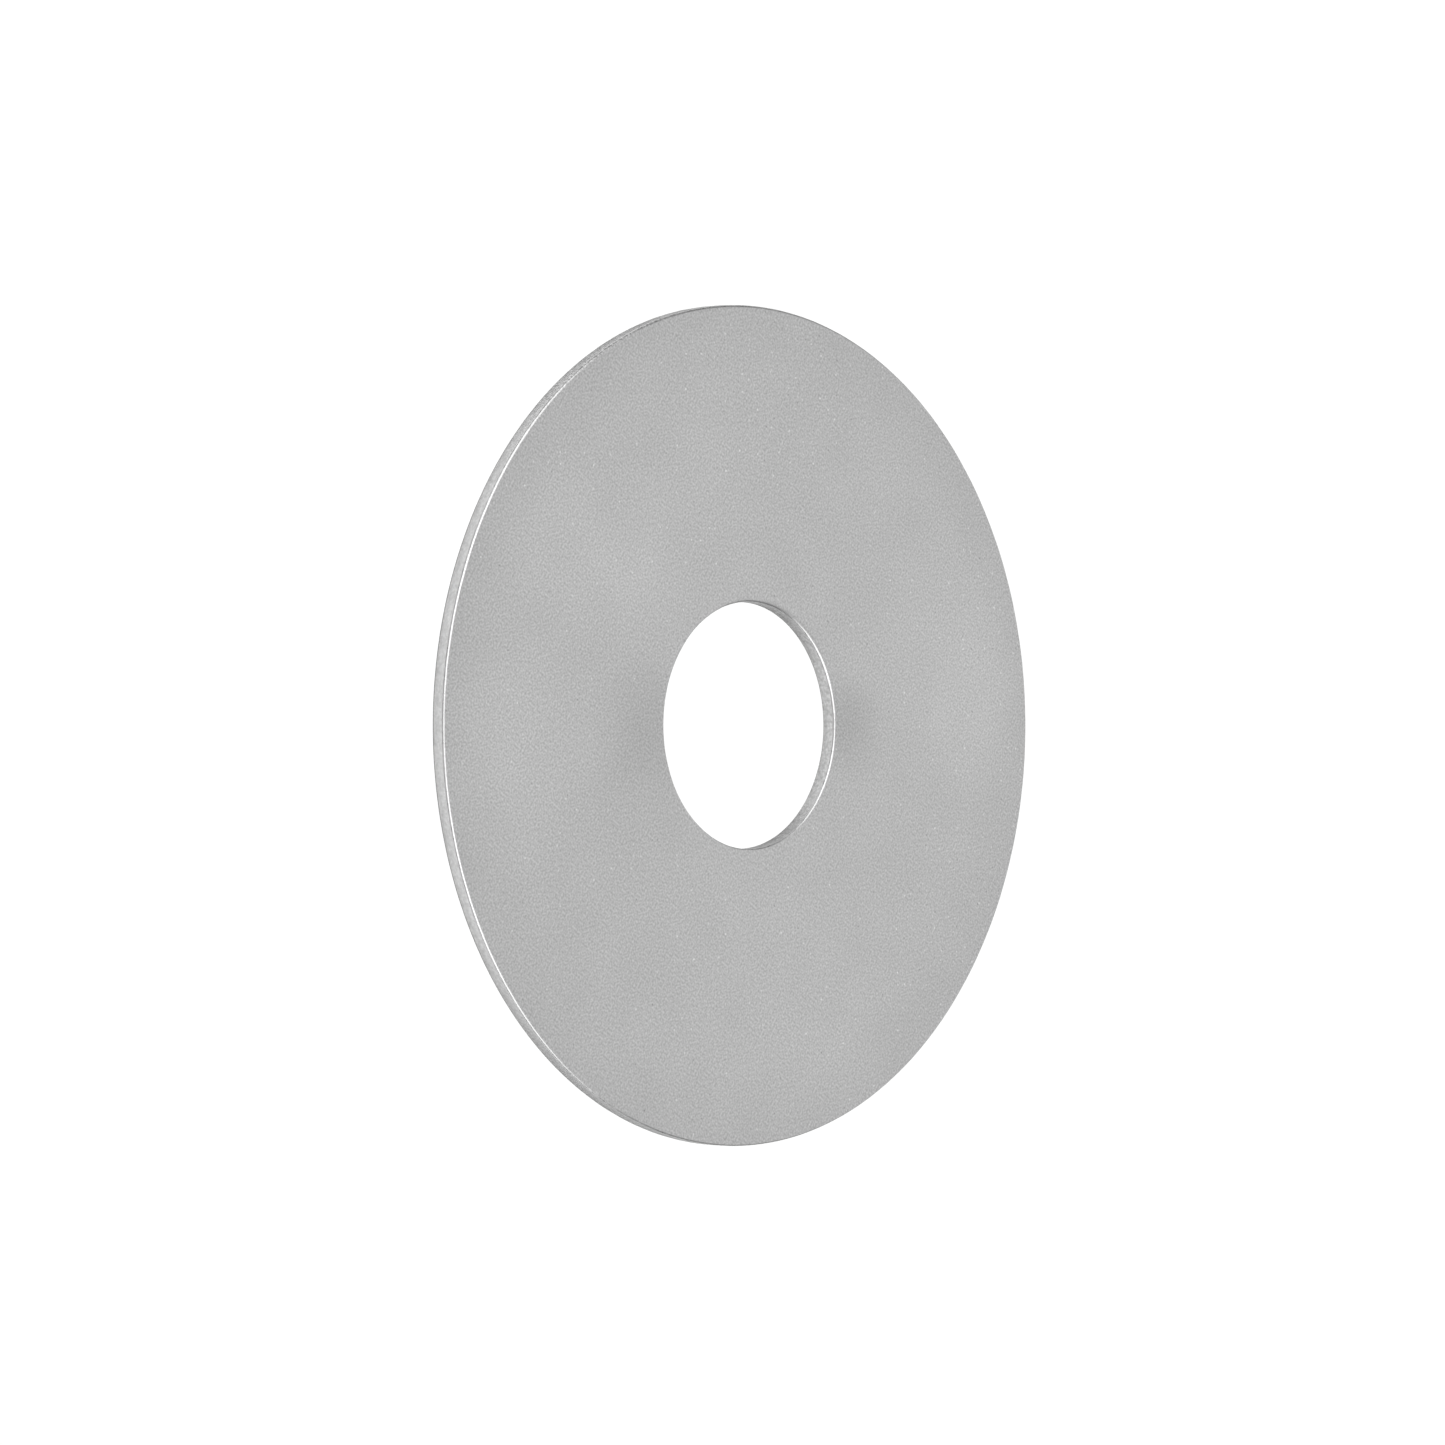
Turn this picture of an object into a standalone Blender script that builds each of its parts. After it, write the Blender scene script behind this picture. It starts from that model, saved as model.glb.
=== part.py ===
"""A flat washer: one disc blanked and pierced from steel sheet, with lightly tumbled corners.

Metres, +Z up. The washer lies on its lower face. The origin is the centre of the hole on that face,
and +Z runs along the hole's axis. The hole was pierced downwards, from the upper face.
"""

import math

import bmesh
import bpy

# Driving dimensions
OUTER_DIAMETER = 0.0510
HOLE_DIAMETER = 0.0150
THICKNESS = 0.0010

# The section's corners. Piercing rolls the hole's edge over on the upper face, and blanking rolls the rim's
# over on the lower face. Tumbling rounds what the tools leave sharp.
UPPER_RIM_RADIUS = 0.00015
LOWER_RIM_RADIUS = 0.00025
UPPER_HOLE_RADIUS = 0.00015
LOWER_HOLE_RADIUS = 0.00006
LARGEST_CORNER_RADIUS = max(UPPER_RIM_RADIUS, LOWER_RIM_RADIUS, UPPER_HOLE_RADIUS, LOWER_HOLE_RADIUS)

# How finely the round shapes are divided
SIDES_OF_CIRCLE = 128
SEGMENTS_OF_CORNER = 2

# A corner between a face and a wall turns by a right angle, and two sides of a circle by far less
LEAST_CORNER_TURN = math.radians(45)

STEEL_COLOUR = (0.50, 0.50, 0.50, 1.0)
STEEL_ROUGHNESS = 0.42
STEEL_METALLIC = 1.0


def clear_scene():
    for obj in list(bpy.data.objects):
        bpy.data.objects.remove(obj, do_unlink=True)


def steel():
    material = bpy.data.materials.new("satin_steel")
    material.use_nodes = True
    shader = material.node_tree.nodes["Principled BSDF"]
    shader.inputs["Base Color"].default_value = STEEL_COLOUR
    shader.inputs["Roughness"].default_value = STEEL_ROUGHNESS
    shader.inputs["Metallic"].default_value = STEEL_METALLIC
    return material


def flat_ring(bm, outer_radius, inner_radius):
    """A flat ring of faces at z = 0."""
    loops = []
    for radius in (outer_radius, inner_radius):
        circle = bmesh.ops.create_circle(bm, segments=SIDES_OF_CIRCLE, radius=radius)
        loops += {edge for vertex in circle["verts"] for edge in vertex.link_edges}
    return bmesh.ops.bridge_loops(bm, edges=loops)["faces"]


def corner_radius(place):
    """The radius of the corner that place is on."""
    on_rim = place.xy.length > (OUTER_DIAMETER + HOLE_DIAMETER) / 4
    if place.z > THICKNESS / 2:
        return UPPER_RIM_RADIUS if on_rim else UPPER_HOLE_RADIUS
    return LOWER_RIM_RADIUS if on_rim else LOWER_HOLE_RADIUS


def weigh_corners(bm):
    """Marks the four sharp circles for the bevel, in proportion to each one's radius."""
    weight = bm.edges.layers.float.new("bevel_weight_edge")
    for edge in bm.edges:
        if edge.calc_face_angle() >= LEAST_CORNER_TURN:
            edge[weight] = corner_radius(edge.verts[0].co) / LARGEST_CORNER_RADIUS


def washer_mesh():
    """The ring with square corners, from z = 0 up to its thickness."""
    bm = bmesh.new()
    ring = flat_ring(bm, OUTER_DIAMETER / 2, HOLE_DIAMETER / 2)
    raised = bmesh.ops.extrude_face_region(bm, geom=ring, use_keep_orig=True)["geom"]
    upper_vertices = [element for element in raised if isinstance(element, bmesh.types.BMVert)]
    bmesh.ops.translate(bm, verts=upper_vertices, vec=(0.0, 0.0, THICKNESS))
    bmesh.ops.recalc_face_normals(bm, faces=bm.faces)
    weigh_corners(bm)
    mesh = bpy.data.meshes.new("washer")
    bm.to_mesh(mesh)
    bm.free()
    mesh.shade_smooth()
    return mesh


def add_washer():
    washer = bpy.data.objects.new("washer", washer_mesh())
    bpy.context.scene.collection.objects.link(washer)
    corners = washer.modifiers.new("corners", "BEVEL")
    corners.limit_method = "WEIGHT"
    corners.width = LARGEST_CORNER_RADIUS
    corners.segments = SEGMENTS_OF_CORNER
    corners.harden_normals = True
    washer.data.materials.append(steel())
    return washer


clear_scene()
add_washer()
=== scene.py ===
import math

import bmesh
import bpy
from mathutils import Matrix, Vector, noise


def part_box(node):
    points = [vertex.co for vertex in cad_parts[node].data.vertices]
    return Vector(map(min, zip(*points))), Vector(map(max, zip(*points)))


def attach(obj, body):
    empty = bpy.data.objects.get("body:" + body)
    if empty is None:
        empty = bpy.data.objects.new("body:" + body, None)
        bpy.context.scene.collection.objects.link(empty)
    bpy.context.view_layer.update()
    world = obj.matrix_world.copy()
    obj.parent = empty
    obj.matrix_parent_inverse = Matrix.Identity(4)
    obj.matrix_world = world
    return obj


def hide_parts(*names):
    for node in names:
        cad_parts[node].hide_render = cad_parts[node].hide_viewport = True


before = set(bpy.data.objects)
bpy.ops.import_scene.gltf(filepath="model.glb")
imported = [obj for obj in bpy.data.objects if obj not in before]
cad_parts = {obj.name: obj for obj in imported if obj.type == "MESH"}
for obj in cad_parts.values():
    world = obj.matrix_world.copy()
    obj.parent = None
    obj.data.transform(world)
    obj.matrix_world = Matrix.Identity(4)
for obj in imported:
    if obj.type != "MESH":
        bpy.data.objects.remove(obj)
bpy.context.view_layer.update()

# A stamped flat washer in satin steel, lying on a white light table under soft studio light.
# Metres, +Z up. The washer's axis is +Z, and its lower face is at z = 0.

MM = 0.001

# The washer's sizes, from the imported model
LOW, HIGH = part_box("washer")
OUTER_RADIUS = (HIGH.x - LOW.x) / 2
THICKNESS = HIGH.z - LOW.z
HOLE_RADIUS = min(vertex.co.xy.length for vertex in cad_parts["washer"].data.vertices)

# The section's corners
UPPER_RIM_CORNER = 0.14 * MM
LOWER_RIM_CORNER = 0.20 * MM
UPPER_HOLE_CORNER = 0.125 * MM
LOWER_HOLE_CORNER = 0.06 * MM

# The tools met the sheet slightly off centre: by how much the upper corners' radii swing, and towards
# where. 0 degrees is +X, and 90 is +Y.
RIM_SWING, RIM_SWING_TOWARDS = 0.40, math.radians(230)
HOLE_SWING, HOLE_SWING_TOWARDS = 0.55, math.radians(115)

# Piercing drags the upper face down on the hole's rounder side: how deep at its edge, and over what width
# that fades
DRAG_DEPTH = 0.05 * MM
DRAG_WIDTH = 1.1 * MM

# Unevenness: of the upper face, of the corners' radii and of the walls
FACE_WAVE_HEIGHT = 0.012 * MM
FACE_WAVE_LENGTH = 9.0 * MM
RIM_CORNER_WAVE_SHARE, HOLE_CORNER_WAVE_SHARE = 0.07, 0.14
CORNER_WAVE_LENGTH = 1.6 * MM
WALL_WAVE_DEPTH = 0.012 * MM
WALL_WAVE_LENGTH = 0.5 * MM
WAVE_ROUGHNESS, WAVE_LACUNARITY, WAVE_OCTAVES = 0.6, 2.0, 3

# How finely the shape is divided
TURN_STEPS = 720
UPPER_FACE_STEPS = 30
LOWER_FACE_STEPS = 6
WALL_STEPS = 16
CORNER_STEPS = 12

# The camera, as it stands to the middle of the upper face. Lengths are in outside diameters.
LINE_OF_SIGHT_TILT = math.radians(45.94)
CAMERA_DEPTH = 6.517
WASHER_RIGHT_OF_CENTRE = 0.0336
WASHER_BELOW_CENTRE = 0.0035
LENS_MM = 136.4
SENSOR_MM = 36.0

# The nearest and the farthest that the camera shows, in metres
CLIP_START, CLIP_END = 0.01, 20.0


def add_camera():
    """Looks down on the near edge, with the camera on its side so that the far edge is at the right."""
    diameter = 2 * OUTER_RADIUS
    forward = Vector((0, math.sin(LINE_OF_SIGHT_TILT), -math.cos(LINE_OF_SIGHT_TILT)))
    right = Vector((0, math.cos(LINE_OF_SIGHT_TILT), math.sin(LINE_OF_SIGHT_TILT)))
    up = right.cross(forward)
    middle = Vector((0, 0, THICKNESS))
    place = middle - diameter * (
        CAMERA_DEPTH * forward + WASHER_RIGHT_OF_CENTRE * right - WASHER_BELOW_CENTRE * up
    )
    data = bpy.data.cameras.new("camera")
    data.lens = LENS_MM
    data.sensor_width = SENSOR_MM
    data.clip_start = CLIP_START
    data.clip_end = CLIP_END
    camera = bpy.data.objects.new("camera", data)
    camera.matrix_world = Matrix.Translation(place) @ Matrix((right, up, -forward)).transposed().to_4x4()
    bpy.context.scene.collection.objects.link(camera)
    bpy.context.scene.camera = camera


# ---------------------------------------------------------------------------------------------
# Shape


def straight(start, end, steps, share_of):
    """Points from start up to, but not including, end. share_of maps a step's share of the steps."""
    return [start.lerp(end, share_of(step / steps)) for step in range(steps)]


def even(share):
    return share


def closer_at_start(share):
    return share ** 2


def corner(centre, radius, start_angle):
    """A quarter turn of points about centre, clockwise from start_angle, without its last point."""
    points = []
    for step in range(CORNER_STEPS):
        angle = start_angle - math.pi / 2 * step / CORNER_STEPS
        points.append(centre + radius * Vector((math.cos(angle), math.sin(angle))))
    return points


def waves(angle, radius, height, length):
    """Seamless noise round the circle of this radius, about -1 to 1, with lumps of about this length."""
    place = Vector((radius * math.cos(angle), radius * math.sin(angle), height)) / length
    return noise.fractal(place, WAVE_ROUGHNESS, WAVE_LACUNARITY, WAVE_OCTAVES)


def upper_corners(angle):
    """The radii of the upper face's two corners at this angle: the rim's and the hole's."""
    rim_share = 1 + RIM_SWING * math.cos(angle - RIM_SWING_TOWARDS)
    rim_share += RIM_CORNER_WAVE_SHARE * waves(angle, OUTER_RADIUS, THICKNESS, CORNER_WAVE_LENGTH)
    hole_share = 1 + HOLE_SWING * math.cos(angle - HOLE_SWING_TOWARDS)
    hole_share += HOLE_CORNER_WAVE_SHARE * waves(angle, HOLE_RADIUS, THICKNESS, CORNER_WAVE_LENGTH)
    return UPPER_RIM_CORNER * rim_share, UPPER_HOLE_CORNER * hole_share


def section(angle):
    """The section at this angle: (radius, height) points, clockwise from the upper face's inner end."""
    inner, outer, top = HOLE_RADIUS, OUTER_RADIUS, THICKNESS
    upper_rim, upper_hole = upper_corners(angle)
    lower_rim, lower_hole = LOWER_RIM_CORNER, LOWER_HOLE_CORNER
    quarter = math.pi / 2
    points = straight(
        Vector((inner + upper_hole, top)), Vector((outer - upper_rim, top)), UPPER_FACE_STEPS, closer_at_start
    )
    points += corner(Vector((outer - upper_rim, top - upper_rim)), upper_rim, quarter)
    points += straight(Vector((outer, top - upper_rim)), Vector((outer, lower_rim)), WALL_STEPS, even)
    points += corner(Vector((outer - lower_rim, lower_rim)), lower_rim, 0.0)
    points += straight(
        Vector((outer - lower_rim, 0.0)), Vector((inner + lower_hole, 0.0)), LOWER_FACE_STEPS, even
    )
    points += corner(Vector((inner + lower_hole, lower_hole)), lower_hole, -quarter)
    points += straight(Vector((inner, lower_hole)), Vector((inner, top - upper_hole)), WALL_STEPS, even)
    points += corner(Vector((inner + upper_hole, top - upper_hole)), upper_hole, -2 * quarter)
    return points


def wall_share(point, angle):
    """0 on a face, 1 on a wall, and the share of a right angle turned on the corner between them."""
    on_rim = point.x > (OUTER_RADIUS + HOLE_RADIUS) / 2
    if point.y > THICKNESS / 2:
        radius = upper_corners(angle)[0 if on_rim else 1]
    else:
        radius = LOWER_RIM_CORNER if on_rim else LOWER_HOLE_CORNER
    across = min(point.x - HOLE_RADIUS, OUTER_RADIUS - point.x)
    down = min(point.y, THICKNESS - point.y)
    if across >= radius:
        return 0.0
    if down >= radius:
        return 1.0
    return math.atan2(radius - across, radius - down) / (math.pi / 2)


def uneven(point, angle, share):
    """The point of the section with the face's dip and waves, or the wall's small hollows."""
    radius, height = point
    upper_share = max(0.0, 2 * height / THICKNESS - 1)
    towards_round_side = 0.5 + 0.5 * math.cos(angle - HOLE_SWING_TOWARDS)
    drag = DRAG_DEPTH * towards_round_side * math.exp(-(radius - HOLE_RADIUS) / DRAG_WIDTH)
    wave = FACE_WAVE_HEIGHT * waves(angle, radius, 0.0, FACE_WAVE_LENGTH)
    hollow = WALL_WAVE_DEPTH * share * abs(waves(angle, radius, height, WALL_WAVE_LENGTH))
    outward = 1 if radius > (OUTER_RADIUS + HOLE_RADIUS) / 2 else -1
    return radius - outward * hollow, height - upper_share * (drag + wave)


def turned():
    """Vertices, faces and each vertex's share of wall, of the section turned about the Z axis."""
    vertices, shares = [], []
    for turn in range(TURN_STEPS):
        angle = 2 * math.pi * turn / TURN_STEPS
        for point in section(angle):
            share = wall_share(point, angle)
            radius, height = uneven(point, angle, share)
            vertices.append((radius * math.cos(angle), radius * math.sin(angle), height))
            shares.append(share)
    count = len(vertices) // TURN_STEPS
    faces = []
    for turn in range(TURN_STEPS):
        here, there = turn * count, (turn + 1) % TURN_STEPS * count
        for index in range(count):
            after = (index + 1) % count
            faces.append((here + index, here + after, there + after, there + index))
    return vertices, faces, shares


def add_washer():
    vertices, faces, shares = turned()
    mesh = bpy.data.meshes.new("washer_body")
    mesh.from_pydata(vertices, [], faces)
    mesh.update()
    mesh.shade_smooth()
    mesh.attributes.new("wall_share", "FLOAT", "POINT").data.foreach_set("value", shares)
    mesh.materials.append(steel())
    washer = bpy.data.objects.new("washer_body", mesh)
    bpy.context.scene.collection.objects.link(washer)
    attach(washer, "root")
    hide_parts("washer")
    return washer


# ---------------------------------------------------------------------------------------------
# Materials

# The steel's reflectance and roughness on the faces, the sheared walls and the corners. Tumbling has worn
# the upper corners bright. The lower corners are painted dark, as the shade that they reflect from the gap
# where the washer meets the table, and are rougher. A contrast is the share by which a tone or a roughness
# varies.
FACE_TONE, FACE_ROUGHNESS, FACE_ROUGHNESS_CONTRAST = 0.52, 0.42, 0.10
RIM_WALL_TONE, HOLE_WALL_TONE = 0.605, 0.565
WALL_ROUGHNESS, WALL_ROUGHNESS_CONTRAST = 0.50, 0.15
RIM_CORNER_TONE, HOLE_CORNER_TONE, UPPER_CORNER_ROUGHNESS = 0.56, 0.55, 0.30
LOWER_CORNER_SHADE_TONE, LOWER_CORNER_ROUGHNESS = 0.22, 0.42

# How soon a corner's tone takes over from those of the face and the wall: 4 is halfway round, more is sooner
UPPER_CORNER_SHARPNESS, LOWER_CORNER_SHARPNESS = 4.0, 7.0

# Tumbled faces: fine grain, turned by some radians so that its lumps don't line up with the axes, soft
# clouds, broad patches of painted reflection, lighter where the face's waves catch the studio light and
# darker where they lose it, and a border that darkens towards the outer edge
GRAIN_SIZE, GRAIN_CONTRAST, GRAIN_HEIGHT, GRAIN_TURN = 0.13 * MM, 0.25, 0.003 * MM, 0.6
CLOUD_SIZE, CLOUD_CONTRAST = 3.5 * MM, 0.05
BORDER_WIDTH, BORDER_LOSS = 5.0 * MM, 0.045
REFLECTION_PATCHES = (
    # x and y in mm, reach in mm, share by which the tone rises or falls
    (-10.6, -15.8, 9.0, 0.06),
    (-9.0, -9.0, 7.0, 0.05),
    (1.0, -20.5, 9.0, 0.07),
    (-4.0, 18.2, 10.0, 0.06),
    (0.0, 22.0, 9.0, 0.03),
    (17.0, 4.6, 14.0, 0.03),
    (-16.0, -5.0, 9.0, 0.02),
    (0.4, -9.0, 5.5, -0.10),
    (0.0, 8.6, 4.0, -0.12),
    (4.5, -8.5, 7.0, -0.03),
)

# Bright specks, where a grain of the metal lies flat: painted glints, raised in tone and also made smoother,
# and dark pits. They lie on two grids of this spacing, and SPOT_SHARE of the cells hold one. A spot fades
# between the two shares of its radius. The pits' grid is moved along X, by metres, so that pits and specks
# fall in different places.
SPOT_SPACING, SPECK_RADIUS, PIT_RADIUS = 0.7 * MM, 0.07 * MM, 0.06 * MM
SPOT_SHARE, SPOT_FADE_START, SPOT_FADE_END = 0.12, 0.5, 1.3
PAINTED_GLINT_GAIN, SPECK_ROUGHNESS, PIT_LOSS, PIT_OFFSET = 0.34, 0.30, 0.30, 0.5

# Parts of the face that hold more spots: x, y and reach in mm, and the rise in their share at the middle
SPOTTED = ((14.0, 20.0, 12.0), (-22.0, 2.0, 12.0), (-8.0, 23.0, 8.0))
SPOT_SHARE_RISE = 0.6

# A stretch of the hole's edge where the upper face is painted darker, as the shade where it bends down into
# the hole: x, y and reach in mm, then the shaded ring's width, its loss, and how strong the stretch has to
# be, 0 to 1, for the loss to be full
SHADED_HOLE_STRETCH = (-6.2, 4.4, 6.5)
SHADED_RING_WIDTH, SHADED_RING_LOSS, SHADED_RING_FULL = 0.4 * MM, 0.13, 0.5

# Sheared walls: streaks along the edge and blotches. They are also painted darker towards the bottom, as the
# shade near the table: the loss is full up to the first share of the thickness and gone from the second.
STREAK_LENGTH, STREAK_WIDTH, STREAK_CONTRAST = 0.9 * MM, 0.16 * MM, 0.16
BLOTCH_SIZE, RIM_BLOTCH_CONTRAST, HOLE_BLOTCH_CONTRAST = 0.18 * MM, 0.24, 0.42
LOW_WALL_SHADE_LOSS, SHADE_FULL_BELOW, SHADE_GONE_ABOVE = 0.12, 0.1, 0.7

# A stretch of the rim that tore into coarse grains: x, y and reach in mm, the grains' size and their contrast
TORN_STRETCH = (-22.5, -12.0, 13.0)
TORN_GRAIN_SIZE, TORN_GRAIN_CONTRAST = 0.14 * MM, 0.6

# The walls and corners are also painted darker, as shade, where they face along an axis that runs this far
# off X: the loss where they face along it squarely, and how squarely, 0 to 1, they have to face along it for
# the loss to start
SIDE_SHADE_TURN = math.radians(-5)
SIDE_SHADE_LOSS, WALL_LOSS_START, CORNER_LOSS_START = 0.32, 0.45, 0.85

# Small nicks in the corners, lighter and darker, smoother and rougher
NICK_SIZE, NICK_CONTRAST, NICK_ROUGHNESS_CONTRAST = 0.3 * MM, 0.2, 0.4


class Graph:
    """The node tree of a new material, with short ways to add nodes to it."""

    def __init__(self, name):
        self.material = bpy.data.materials.new(name)
        self.material.use_nodes = True
        self.tree = self.material.node_tree
        self.shader = self.tree.nodes["Principled BSDF"]

    def add(self, kind, inputs, output=0, **settings):
        """Adds a node, gives each named or numbered input a value or a link, and returns an output."""
        node = self.tree.nodes.new(kind)
        for name, value in settings.items():
            setattr(node, name, value)
        for name, value in inputs.items():
            self.put(node.inputs[name], value)
        return node.outputs[output]

    def put(self, socket, value):
        if isinstance(value, bpy.types.NodeSocket):
            self.tree.links.new(value, socket)
        else:
            socket.default_value = value

    def surface(self, name, value):
        self.put(self.shader.inputs[name], value)

    def maths(self, operation, first, second=0.0):
        return self.add("ShaderNodeMath", {0: first, 1: second}, operation=operation)

    def plus(self, *values):
        total = values[0]
        for value in values[1:]:
            total = self.maths("ADD", total, value)
        return total

    def times(self, *values):
        product = values[0]
        for value in values[1:]:
            product = self.maths("MULTIPLY", product, value)
        return product

    def opposite(self, share):
        return self.maths("SUBTRACT", 1.0, share)

    def remap(self, value, low, high, to_low, to_high, kind="LINEAR"):
        inputs = {"Value": value, "From Min": low, "From Max": high, "To Min": to_low, "To Max": to_high}
        return self.add("ShaderNodeMapRange", inputs, interpolation_type=kind)

    def vary(self, noise_value, contrast):
        """A factor that differs from 1 by up to contrast, from noise of 0 to 1."""
        return self.remap(noise_value, 0, 1, 1 - contrast, 1 + contrast)

    def blend(self, share, first, second):
        return self.add("ShaderNodeMix", {"Factor": share, "A": first, "B": second})

    def noise(self, place, size, detail=0.0, dimensions="3D"):
        """Noise from 0 to 1. size is its lumps' size, or their sizes along X, Y and Z.

        detail is the number of finer layers on top.
        """
        sizes = size if isinstance(size, tuple) else (size, size, size)
        scale = [1 / length for length in sizes]
        scaled = self.add("ShaderNodeVectorMath", {0: place, 1: scale}, operation="MULTIPLY")
        inputs = {"Vector": scaled, "Scale": 1.0, "Detail": detail}
        return self.add("ShaderNodeTexNoise", inputs, noise_dimensions=dimensions)

    def spot(self, place, x, y, reach):
        """1 at a point of the upper face, falling smoothly to 0 at reach from it."""
        centre = (x * MM, y * MM, THICKNESS)
        distance = self.add(
            "ShaderNodeVectorMath", {0: place, 1: centre}, output="Value", operation="DISTANCE"
        )
        return self.remap(distance, 0.0, reach * MM, 1.0, 0.0, "SMOOTHSTEP")


def spots(graph, place, offset, radius, density):
    """The strength, 0 to 1, of small round spots of this radius, 0 between them.

    density is the share of the grid's cells that hold one, and offset moves the grid along X.
    """
    moved = graph.add("ShaderNodeVectorMath", {0: place, 1: (offset, 0, 0)}, operation="ADD")
    where = {"Vector": moved, "Scale": 1 / SPOT_SPACING}
    distance = graph.add("ShaderNodeTexVoronoi", where, output="Distance", voronoi_dimensions="2D")
    colour = graph.add("ShaderNodeTexVoronoi", where, output="Color", voronoi_dimensions="2D")
    chance = graph.add("ShaderNodeSeparateColor", {"Color": colour}, output="Red")
    strength = graph.add("ShaderNodeSeparateColor", {"Color": colour}, output="Green")
    return graph.times(
        graph.maths("LESS_THAN", chance, density),
        strength,
        graph.remap(
            distance,
            SPOT_FADE_START * radius / SPOT_SPACING,
            SPOT_FADE_END * radius / SPOT_SPACING,
            1.0,
            0.0,
        ),
    )


def specks_and_pits(graph, place):
    density = graph.plus(SPOT_SHARE, *[
        graph.times(graph.spot(place, x, y, reach), SPOT_SHARE_RISE) for x, y, reach in SPOTTED
    ])
    specks = spots(graph, place, 0.0, SPECK_RADIUS, density)
    pits = spots(graph, place, PIT_OFFSET, PIT_RADIUS, density)
    return specks, pits


def face_tone(graph, place, radius, grain, specks, pits):
    # Painted reflection: lighter and darker patches that stand for the light on the face's waves
    painted_reflections = graph.plus(1.0, *[
        graph.times(graph.spot(place, x, y, reach), gain) for x, y, reach, gain in REFLECTION_PATCHES
    ])
    inside = OUTER_RADIUS - BORDER_WIDTH
    # Painted shade in a thin ring just outside the hole's edge, within the stretch
    near_hole = graph.remap(radius, HOLE_RADIUS, HOLE_RADIUS + SHADED_RING_WIDTH, 1.0, 0.0, "SMOOTHSTEP")
    painted_edge_shade = graph.times(near_hole, graph.spot(place, *SHADED_HOLE_STRETCH))
    return graph.times(
        FACE_TONE,
        graph.vary(grain, GRAIN_CONTRAST),
        graph.vary(graph.noise(place, CLOUD_SIZE, detail=2.0), CLOUD_CONTRAST),
        painted_reflections,
        graph.remap(radius, inside, OUTER_RADIUS, 1.0, 1.0 - BORDER_LOSS, "SMOOTHSTEP"),
        graph.remap(painted_edge_shade, 0.0, SHADED_RING_FULL, 1.0, 1.0 - SHADED_RING_LOSS),
        # Painted glints: the specks raise the tone
        graph.remap(specks, 0.0, 1.0, 1.0, 1.0 + PAINTED_GLINT_GAIN),
        graph.remap(pits, 0.0, 1.0, 1.0, 1.0 - PIT_LOSS),
    )


def painted_side_shade(graph, place, radius, start):
    """A factor of painted shade that falls from 1 as an edge faces along the shade's axis more squarely than
    start.
    """
    shade_axis = (math.cos(SIDE_SHADE_TURN), math.sin(SIDE_SHADE_TURN), 0)
    along_shade_axis = graph.add(
        "ShaderNodeVectorMath", {0: place, 1: shade_axis}, output="Value", operation="DOT_PRODUCT"
    )
    squareness = graph.maths("ABSOLUTE", graph.maths("DIVIDE", along_shade_axis, radius))
    return graph.remap(squareness, start, 1.0, 1.0, 1.0 - SIDE_SHADE_LOSS, "SMOOTHSTEP")


def torn_grains(graph, place):
    """A factor that is 1 everywhere but in the torn stretch of the rim."""
    grains = graph.vary(graph.noise(place, TORN_GRAIN_SIZE), TORN_GRAIN_CONTRAST)
    return graph.blend(graph.spot(place, *TORN_STRETCH), 1.0, grains)


def wall_tone(graph, place, radius, height, on_rim, streaks):
    blotches = graph.noise(place, BLOTCH_SIZE, detail=1.0)
    return graph.times(
        graph.blend(on_rim, HOLE_WALL_TONE, RIM_WALL_TONE),
        graph.vary(streaks, STREAK_CONTRAST),
        graph.blend(
            on_rim, graph.vary(blotches, HOLE_BLOTCH_CONTRAST), graph.vary(blotches, RIM_BLOTCH_CONTRAST)
        ),
        # Painted shade: darker towards the bottom of the wall
        graph.remap(height, SHADE_FULL_BELOW * THICKNESS, SHADE_GONE_ABOVE * THICKNESS, 1.0 - LOW_WALL_SHADE_LOSS, 1.0),
        # Painted shade towards the sides
        painted_side_shade(graph, place, radius, WALL_LOSS_START),
    )


def corner_tone(graph, place, radius, on_rim, upper, nicks):
    upper_tone = graph.blend(on_rim, HOLE_CORNER_TONE, RIM_CORNER_TONE)
    return graph.times(
        # The lower corners' dark tone is painted shade: the gap under the washer that they reflect
        graph.blend(upper, LOWER_CORNER_SHADE_TONE, upper_tone),
        graph.vary(nicks, NICK_CONTRAST),
        # Painted shade towards the sides
        painted_side_shade(graph, place, radius, CORNER_LOSS_START),
    )


def corner_roughness(graph, upper, nicks):
    smooth_or_rough = graph.blend(upper, LOWER_CORNER_ROUGHNESS, UPPER_CORNER_ROUGHNESS)
    return graph.times(smooth_or_rough, graph.vary(nicks, NICK_ROUGHNESS_CONTRAST))


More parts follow.
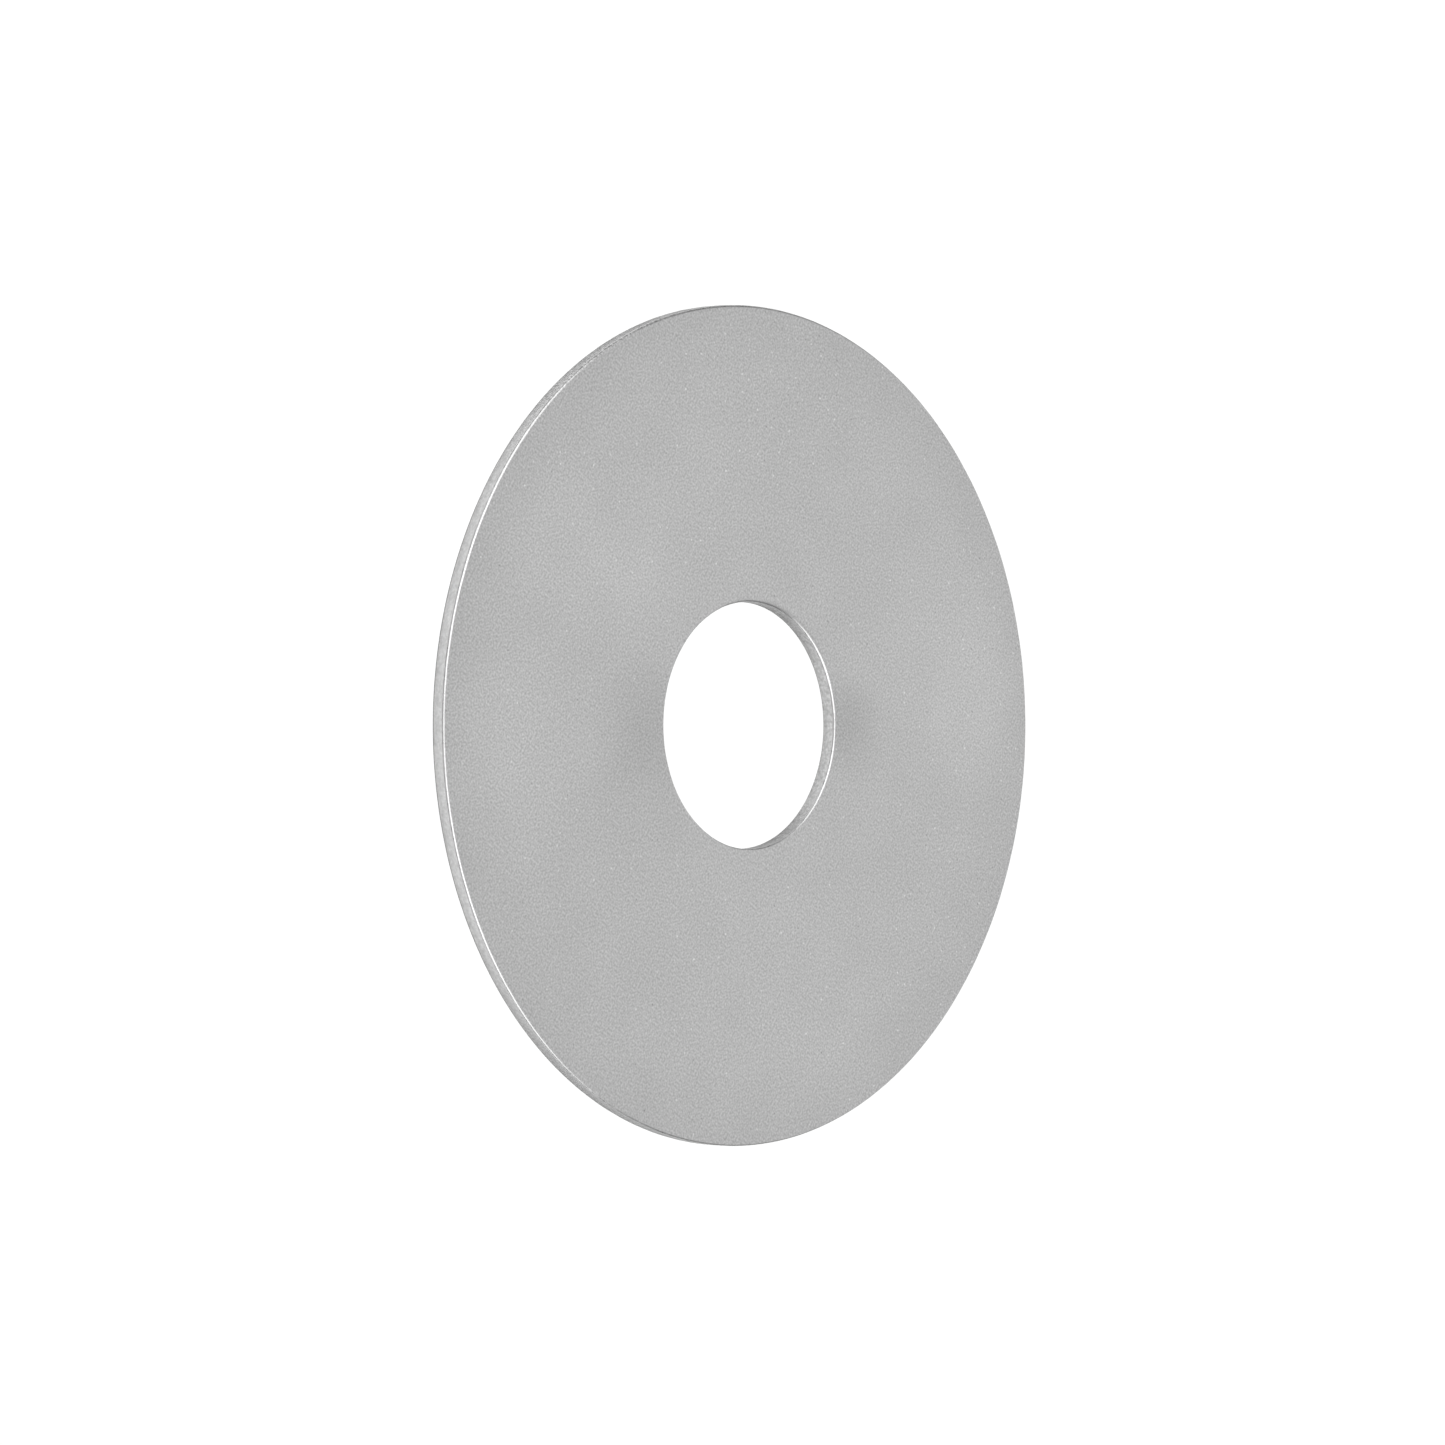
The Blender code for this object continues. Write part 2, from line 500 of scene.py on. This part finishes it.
def steel():
    graph = Graph("satin_steel")

    # Where a point lies: how far out and up, and its shares of wall and of corner
    place = graph.add("ShaderNodeTexCoord", {}, output="Object")
    height = graph.add("ShaderNodeSeparateXYZ", {0: place}, output="Z")
    flat = graph.add("ShaderNodeVectorMath", {0: place, 1: (1, 1, 0)}, operation="MULTIPLY")
    radius = graph.add("ShaderNodeVectorMath", {0: flat}, output="Value", operation="LENGTH")
    on_rim = graph.maths("GREATER_THAN", radius, (OUTER_RADIUS + HOLE_RADIUS) / 2)
    upper = graph.maths("GREATER_THAN", height, THICKNESS / 2)
    wall = graph.add("ShaderNodeAttribute", {}, output="Fac", attribute_name="wall_share")
    sharpness = graph.blend(upper, LOWER_CORNER_SHARPNESS, UPPER_CORNER_SHARPNESS)
    corner_share = graph.maths("MINIMUM", 1.0, graph.times(wall, graph.opposite(wall), sharpness))

    # The patterns that the tone, the roughness and the relief follow
    turned_place = graph.add(
        "ShaderNodeVectorRotate", {"Vector": place, "Angle": GRAIN_TURN}, rotation_type="Z_AXIS"
    )
    grain = graph.noise(turned_place, GRAIN_SIZE, dimensions="2D")
    streaks = graph.noise(place, (STREAK_LENGTH, STREAK_LENGTH, STREAK_WIDTH), detail=1.0)
    nicks = graph.noise(place, NICK_SIZE, detail=1.0)
    torn = torn_grains(graph, place)
    specks, pits = specks_and_pits(graph, place)

    on_face = face_tone(graph, place, radius, grain, specks, pits)
    on_wall = graph.times(wall_tone(graph, place, radius, height, on_rim, streaks), torn)
    on_corner = graph.times(corner_tone(graph, place, radius, on_rim, upper, nicks), torn)
    tone = graph.blend(corner_share, graph.blend(wall, on_face, on_wall), on_corner)
    grey = graph.add("ShaderNodeCombineColor", {"Red": tone, "Green": tone, "Blue": tone})
    graph.surface("Base Color", grey)
    graph.surface("Metallic", 1.0)

    on_face = graph.times(FACE_ROUGHNESS, graph.vary(grain, FACE_ROUGHNESS_CONTRAST))
    on_wall = graph.times(WALL_ROUGHNESS, graph.vary(streaks, WALL_ROUGHNESS_CONTRAST))
    on_corner = corner_roughness(graph, upper, nicks)
    roughness = graph.blend(corner_share, graph.blend(wall, on_face, on_wall), on_corner)
    graph.surface("Roughness", graph.blend(specks, roughness, SPECK_ROUGHNESS))

    relief = graph.blend(corner_share, graph.blend(wall, grain, streaks), nicks)
    graph.surface("Normal", graph.add("ShaderNodeBump", {"Height": relief, "Distance": GRAIN_HEIGHT}))
    return graph.material


def overexposed(graph, shader):
    """Shows a surface as plain white to the camera, and as it is to everything that it lights."""
    to_camera = graph.add("ShaderNodeLightPath", {}, output="Is Camera Ray")
    white = graph.add("ShaderNodeEmission", {"Color": (1, 1, 1, 1), "Strength": SHOWN_WHITE})
    return graph.add("ShaderNodeMixShader", {0: to_camera, 1: shader, 2: white})


def table_top():
    graph = Graph("pale_table")
    graph.surface("Base Color", (TABLE_ALBEDO, TABLE_ALBEDO, TABLE_ALBEDO, 1))
    graph.surface("Roughness", TABLE_ROUGHNESS)
    shown = overexposed(graph, graph.shader.outputs[0])
    graph.put(graph.tree.nodes["Material Output"].inputs["Surface"], shown)
    return graph.material


# ---------------------------------------------------------------------------------------------
# Studio

FLOOR_RADIUS, FLOOR_SIDES = 3.0, 96
FLOOR_GAP = 0.02 * MM
TABLE_ALBEDO, TABLE_ROUGHNESS = 0.8, 0.7

# What the camera sees of the floor and the walls: slightly over full white, so that it stays plain
SHOWN_WHITE = 1.05

# The walls' light near the horizon and overhead, and the heights, as the sine of the elevation, between
# which the one turns into the other
HORIZON_LIGHT, OVERHEAD_LIGHT = 0.31, 0.575
HORIZON_LIGHT_END, OVERHEAD_LIGHT_START = 0.15, 0.75

LAMP_DISTANCE = 1.0
SOFTBOXES = (
    # name, azimuth, elevation, width and height in degrees, radiance
    ("left_panel", -72, 50, 52, 56, 1.52),
    ("right_panel", 72, 50, 52, 56, 1.52),
    ("front_panel", 0, 58, 64, 48, 0.98),
    ("back_panel", 180, 34, 60, 40, 0.46),
)


def add_floor():
    bm = bmesh.new()
    bmesh.ops.create_circle(bm, cap_ends=True, segments=FLOOR_SIDES, radius=FLOOR_RADIUS)
    mesh = bpy.data.meshes.new("floor")
    bm.to_mesh(mesh)
    bm.free()
    mesh.materials.append(table_top())
    floor = bpy.data.objects.new("floor", mesh)
    floor.location.z = -FLOOR_GAP
    bpy.context.scene.collection.objects.link(floor)


def add_softbox(name, azimuth, elevation, width, height, radiance):
    """A rectangular lamp facing the washer, width and height degrees across as seen from it.

    Azimuth 0 is on the camera's side, and 90 towards +X.
    """
    turn, rise = math.radians(azimuth), math.radians(elevation)
    away = Vector((math.sin(turn) * math.cos(rise), -math.cos(turn) * math.cos(rise), math.sin(rise)))
    data = bpy.data.lights.new(name, "AREA")
    data.shape = "RECTANGLE"
    data.size = 2 * LAMP_DISTANCE * math.tan(math.radians(width / 2))
    data.size_y = 2 * LAMP_DISTANCE * math.tan(math.radians(height / 2))
    data.energy = radiance * math.pi * data.size * data.size_y
    lamp = bpy.data.objects.new(name, data)
    across = Vector((math.cos(turn), math.sin(turn), 0))
    lamp.matrix_world = Matrix.Translation(LAMP_DISTANCE * away) @ Matrix(
        (across, away.cross(across), away)
    ).transposed().to_4x4()
    bpy.context.scene.collection.objects.link(lamp)


def add_world():
    """Walls that are dimmer at the horizon than overhead, and plain white to the camera."""
    world = bpy.data.worlds.new("studio")
    world.use_nodes = True
    tree = world.node_tree
    nodes, link = tree.nodes, tree.links.new
    direction = nodes.new("ShaderNodeTexCoord").outputs["Generated"]
    split = nodes.new("ShaderNodeSeparateXYZ")
    ramp = nodes.new("ShaderNodeMapRange")
    ramp.interpolation_type = "SMOOTHSTEP"
    ramp.inputs["From Min"].default_value = HORIZON_LIGHT_END
    ramp.inputs["From Max"].default_value = OVERHEAD_LIGHT_START
    ramp.inputs["To Min"].default_value = HORIZON_LIGHT
    ramp.inputs["To Max"].default_value = OVERHEAD_LIGHT
    shown = nodes.new("ShaderNodeMix")
    shown.inputs["B"].default_value = SHOWN_WHITE
    link(direction, split.inputs[0])
    link(split.outputs["Z"], ramp.inputs["Value"])
    link(ramp.outputs[0], shown.inputs["A"])
    link(nodes.new("ShaderNodeLightPath").outputs["Is Camera Ray"], shown.inputs["Factor"])
    link(shown.outputs[0], nodes["Background"].inputs["Strength"])
    nodes["Background"].inputs["Color"].default_value = (1, 1, 1, 1)
    bpy.context.scene.world = world


bpy.context.scene.view_settings.view_transform = "Standard"
add_camera()
add_washer()
add_floor()
add_world()
for panel in SOFTBOXES:
    add_softbox(*panel)
